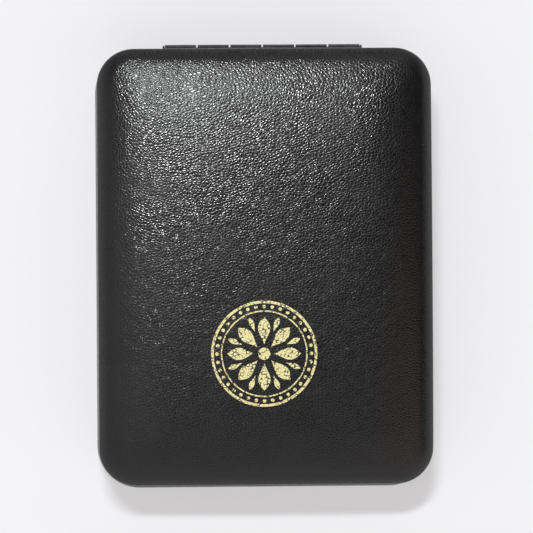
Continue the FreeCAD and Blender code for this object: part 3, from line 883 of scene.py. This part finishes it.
def makeLeaf(name, side, first):
    thick, barrel, overlap = hinge["sheet"], hinge["barrel"], hinge["overlap"]
    inside = axisY - barrel
    half = (hinge["knuckles"] * hinge["pitch"] - hinge["gap"]) / 2
    root, lip = axisZ + side * hinge["root"], axisZ + side * hinge["lip"]
    # the roll starts up the finger and goes round the pin to a narrow seam
    end = 180 + side * (360 - hinge["seam"])
    outer, inner = (arcPoints(axisY, axisZ, radius, 180, end, 39) for radius in (barrel, barrel - thick))
    finger = root + side * overlap
    roll = [(inside, finger)] + outer + inner[::-1] + [(inside + thick, finger)]
    start = -half + first * hinge["pitch"]
    knuckle = sheetSection(name + "Knuckle", roll, start, start + hinge["pitch"] - hinge["gap"])
    far = lip + side * thick
    plate = [(inside, root), (inside + thick, root), (inside + thick, far), (inside, far)]
    tip, heel = inside - hinge["lipReach"], inside + overlap
    bend = [(tip, lip), (tip, far), (heel, far), (heel, lip)]
    parts = [setCopies(knuckle, hinge["knuckles"] // 2, hingeMetal, offset=(2 * hinge["pitch"], 0, 0)),
             sheetSection(name + "Plate", plate, -half, half),
             sheetSection(name + "Lip", bend, -hinge["lipHalf"], hinge["lipHalf"])]
    return smoothPiece(joinPieces(name, parts, hingeMetal), 32)


baseLeaf = dress(makeLeaf("baseLeaf", -1, 1), "base", "hinge_metal", "base_hinge_leaf")
lidLeaf = dress(makeLeaf("lidLeaf", 1, 0), "lid", "hinge_metal", "lid_hinge_leaf")
print("hinge leaves:", len(baseLeaf.data.polygons) + len(lidLeaf.data.polygons), "faces")


# bowed spring that pulls the two lips together
spring = {"halfWidth": 5.0, "thick": 0.35, "front": 34.6, "end": 39.8, "halfHeight": 4.17, "bend": 3.87,
          "edge": 0.08}


def makeSpring():
    centre = spring["bend"] - spring["thick"] / 2
    bendY = spring["front"] + spring["bend"]
    level = spring["halfHeight"] - spring["bend"]
    route = [(y, -level - centre, 90.0) for y in np.linspace(spring["end"], bendY, 5)[:-1]]
    route += [(bendY - centre * math.sin(t), -level - centre * math.cos(t), 90 - math.degrees(t))
              for t in np.linspace(0, math.pi / 2, 15)]
    route += [(y, -z, -facing) for y, z, facing in route[::-1]]
    edge, half, thick = spring["edge"], spring["halfWidth"], spring["thick"] / 2
    section = [(-half, -thick + edge), (-half + edge, -thick), (half - edge, -thick), (half, -thick + edge),
               (half, thick - edge), (half - edge, thick), (-half + edge, thick), (-half, thick - edge)]
    rings = []
    for y, z, facing in route:
        inY, inZ = math.cos(math.radians(facing)), math.sin(math.radians(facing))
        rings.append([(x, y + inY * across, axisZ + z + inZ * across) for x, across in section])
    return smoothPiece(cappedRings("snapSpring", rings, springSteel), 30)


snapSpring = makeSpring()
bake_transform(snapSpring)
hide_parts("snap_spring")
print("spring:", len(snapSpring.data.polygons), "faces")


# padded satin of the lid: blown up a little as cloth at ten times its size, held along the card
pad = {"width": 58.1, "length": 77.25, "corner": 4.55, "middleY": 0.425, "roll": 1.6, "crownRadius": 1200.0,
       "height": 3.5, "open": 16.987, "slack": 0.02, "voxel": 0.9, "swell": 0.4, "held": 15.6, "enlarge": 10.0,
       "pressure": 4.0, "stiffness": 0.2, "frames": 20, "fill": 0.8}


def padForm():
    insets = edgeInsets(pad["roll"], pad["corner"], 8, 3)
    plan = planGrid(pad["width"] / 2, pad["length"] / 2, pad["corner"], insets, 20, 26)
    height = formHeight(pad, plan, 0)
    points = list(zip(plan["x"].ravel(), plan["y"].ravel() + pad["middleY"], pad["open"] - height.ravel()))
    faces, rim = gridFaces(*plan["x"].shape)
    back = list(range(len(points), len(points) + len(rim)))
    points += [(points[k][0], points[k][1], pad["open"]) for k in rim]
    faces += bridge(rim, back) + [back]
    return facesOutward(meshPiece("padSatin", points, faces, satin))


def blowUp(piece):
    enlarge = pad["enlarge"]
    piece.data.transform(Matrix.Scale(enlarge, 4))
    remesh = piece.modifiers.new("even", "REMESH")
    remesh.mode = "VOXEL"
    remesh.voxel_size = pad["voxel"] * mm * enlarge
    settle(piece)
    start = np.array([vertex.co[:] for vertex in piece.data.vertices])
    held = piece.vertex_groups.new(name="held")
    edge = pad["held"] * mm * enlarge
    held.add([k for k in range(len(start)) if start[k][2] > edge], 1.0, "REPLACE")
    cloth = piece.modifiers.new("cloth", "CLOTH")
    cloth.settings.use_pressure = True
    cloth.settings.uniform_pressure_force = pad["pressure"]
    cloth.settings.shrink_min = -pad["slack"]
    cloth.settings.vertex_group_mass = "held"
    cloth.settings.bending_stiffness = pad["stiffness"]
    cloth.settings.effector_weights.gravity = 0.0
    for step in range(1, pad["frames"] + 1):
        scene.frame_set(step)
    settle(piece)
    scene.frame_set(1)
    moved = np.array([vertex.co[:] for vertex in piece.data.vertices]) - start
    far = np.linalg.norm(moved, axis=1)
    most = pad["swell"] * mm * enlarge
    share = np.where(far > 0, most * np.tanh(far / most) / np.maximum(far, 1e-9), 0)
    for vertex, place in zip(piece.data.vertices, (start + moved * share[:, None]) / enlarge):
        vertex.co = place
    finer = piece.modifiers.new("finer", "SUBSURF")
    finer.levels = finer.render_levels = 1
    settle(piece)
    print("satin swells by up to", round(float((far * share).max()) / enlarge / mm, 3), "mm")
    return piece


padSatin = padForm()
padSatin = blowUp(padSatin)
setFinish(padSatin, satin)
smoothPiece(padSatin, 60)
dress(padSatin, "lid", "satin", "lid_satin")
print("satin pad:", len(padSatin.data.polygons), "faces")


# each CAD node takes the finish of its slot
finishes = {"leatherette": leatherette, "pressed_steel": primedSteel, "hinge_metal": hingeMetal,
            "rivet_metal": rivetMetal, "spring_steel": springSteel, "grey_card": greyCard, "velvet": velvet,
            "satin": satin, "wadding": wadding, "coin_metal": coinGold}
for subpart in frame["record"]["subparts"]:
    setFinish(frame["nodes"][subpart["node"]], finishes[subpart["material_slot"]])


# floor, light and camera
floorLook = {"colour": (0.91, 0.92, 0.945), "dimShare": 0.985, "seen": (0.995, 0.99, 1.0, 1), "seenShare": 0.4,
             "size": 3.0, "mottle": 60.0}


def makeFloor():
    half = floorLook["size"] / 2 / mm
    corners = [(-half, -half, 0), (half, -half, 0), (half, half, 0), (-half, half, 0)]
    floor = meshPiece("floor", corners, [(0, 1, 2, 3)])
    material, tree, shader, coords = newMaterial("paleFloor", {"Roughness": 0.7, "Specular IOR Level": 0.2})
    mottle = noise(tree, coords, floorLook["mottle"])["Fac"]
    plain = floorLook["colour"] + (1,)
    dim = tuple(value * floorLook["dimShare"] for value in floorLook["colour"]) + (1,)
    feed(tree, shader, {"Base Color": mixColour(tree, mottle, dim, plain)})
    # part of what is seen is the white of the paper itself, so the shadow stays light
    ray = tree.nodes.new("ShaderNodeLightPath").outputs
    mirrored = maths(tree, "MAXIMUM", ray["Is Glossy Ray"], ray["Is Transmission Ray"])
    seen = maths(tree, "MAXIMUM", ray["Is Camera Ray"], mirrored)
    glow = put(tree, "ShaderNodeEmission", {"Color": floorLook["seen"], "Strength": 1.0})
    share = maths(tree, "MULTIPLY", seen, floorLook["seenShare"])
    both = put(tree, "ShaderNodeMixShader", {0: share, 1: shader.outputs[0], 2: glow.outputs[0]})
    feed(tree, tree.nodes["Material Output"], {"Surface": both.outputs[0]})
    setFinish(floor, material)


room = {"colour": (1.0, 0.955, 0.95, 1), "overhead": 0.032, "leftWall": 0.55, "frontWall": 0.75, "backWall": 0.6,
        "lowWall": 0.9, "darkShare": 0.85, "window": 1.0}


def makeWorld():
    # a dim room with pale walls, brighter low down, but dark low at the back with a window above
    world = bpy.data.worlds.new("studio")
    scene.world = world
    world.use_nodes = True
    tree = world.node_tree
    sky = tree.nodes["Background"]
    sky.inputs["Color"].default_value = room["colour"]
    places = tree.nodes.new("ShaderNodeTexCoord").outputs["Generated"]
    toward = put(tree, "ShaderNodeSeparateXYZ", {0: places}).outputs
    left = remap(tree, toward["X"], -0.45, -0.9, room["overhead"], room["leftWall"])
    front = remap(tree, toward["Y"], -0.05, -0.4, 0.0, room["frontWall"])
    back = remap(tree, toward["Y"], 0.5, 0.75, 0.0, room["backWall"])
    low = remap(tree, toward["Z"], 0.26, 0.1, 0.0, room["lowWall"])
    walls = left
    for wall in (front, back, low):
        walls = maths(tree, "MAXIMUM", walls, wall)
    dark = maths(tree, "MULTIPLY", remap(tree, toward["Y"], 0.3, 0.7), remap(tree, toward["Z"], 0.42, 0.3))
    lit = maths(tree, "SUBTRACT", 1.0, maths(tree, "MULTIPLY", dark, room["darkShare"]))
    sill = maths(tree, "MULTIPLY", remap(tree, toward["Z"], 0.3, 0.36), remap(tree, toward["Z"], 0.68, 0.6))
    window = maths(tree, "MULTIPLY", sill, remap(tree, toward["Y"], 0.66, 0.74, 0.0, room["window"]))
    feed(tree, sky, {"Strength": maths(tree, "MAXIMUM", maths(tree, "MULTIPLY", walls, lit), window)})


def areaLight(name, lamp, place, aim):
    light = bpy.data.lights.new(name, "AREA")
    light.shape = lamp["shape"]
    light.size, light.size_y = lamp["size"]
    light.energy = lamp["power"]
    light.color = lamp["colour"]
    holder = bpy.data.objects.new(name, light)
    holder.location = place
    holder.rotation_euler = (Vector(aim) - Vector(place)).to_track_quat("-Z", "Y").to_euler()
    holder.visible_camera = False
    scene.collection.objects.link(holder)


# a far strip above and a little behind, a soft panel at the left and a faint warm lamp at the right
strip = {"shape": "RECTANGLE", "size": (0.43, 0.14), "power": 33.0, "colour": (0.98, 0.99, 1.0), "away": 2.5,
         "back": 19.8, "left": 6.0, "aim": (0, 0, 0.015)}
panel = {"shape": "RECTANGLE", "size": (0.9, 0.36), "power": 0.54, "colour": (1.0, 0.98, 0.97),
         "place": (-0.5, -0.02, 0.75), "aim": (-0.5, -0.0199, 0)}
warm = {"shape": "DISK", "size": (0.3, 0.3), "power": 0.12, "colour": (1.0, 0.72, 0.58),
        "place": (0.36, -0.16, 0.56), "aim": (0.03, -0.03, 0.015)}


def makeLights():
    slant = (-math.tan(math.radians(strip["left"])), math.tan(math.radians(strip["back"])), 1)
    areaLight("stripLight", strip, Vector(slant).normalized() * strip["away"], strip["aim"])
    areaLight("topPanel", panel, panel["place"], panel["aim"])
    areaLight("warmGlow", warm, warm["place"], warm["aim"])


view = {"distance": 850.0, "left": 35.0, "back": 0.0, "aimX": 0.54, "aimY": 0.42, "roll": 0.4, "framed": 101.2,
        "sensor": 36.0, "nearest": 0.01, "farthest": 10.0}


def makeCamera():
    lens = bpy.data.cameras.new("camera")
    camera = bpy.data.objects.new("camera", lens)
    scene.collection.objects.link(camera)
    aim = Vector((view["aimX"], view["aimY"], axisZ)) * mm
    camera.location = Vector((-view["left"], view["back"], axisZ + view["distance"])) * mm
    toward = aim - camera.location
    lens.sensor_width = view["sensor"]
    lens.lens = view["sensor"] * toward.length / (view["framed"] * mm)
    camera.rotation_mode = "QUATERNION"
    backward = -toward.normalized()
    right = Vector((0, 1, 0)).cross(backward).normalized()
    upright = Matrix((right, backward.cross(right), backward)).transposed().to_quaternion()
    camera.rotation_quaternion = upright @ Quaternion((0, 0, 1), math.radians(-view["roll"]))
    lens.clip_start, lens.clip_end = view["nearest"], view["farthest"]
    scene.camera = camera


makeFloor()
makeWorld()
makeLights()
makeCamera()
scene.view_settings.view_transform = "Standard"
print("floor, light and camera set")
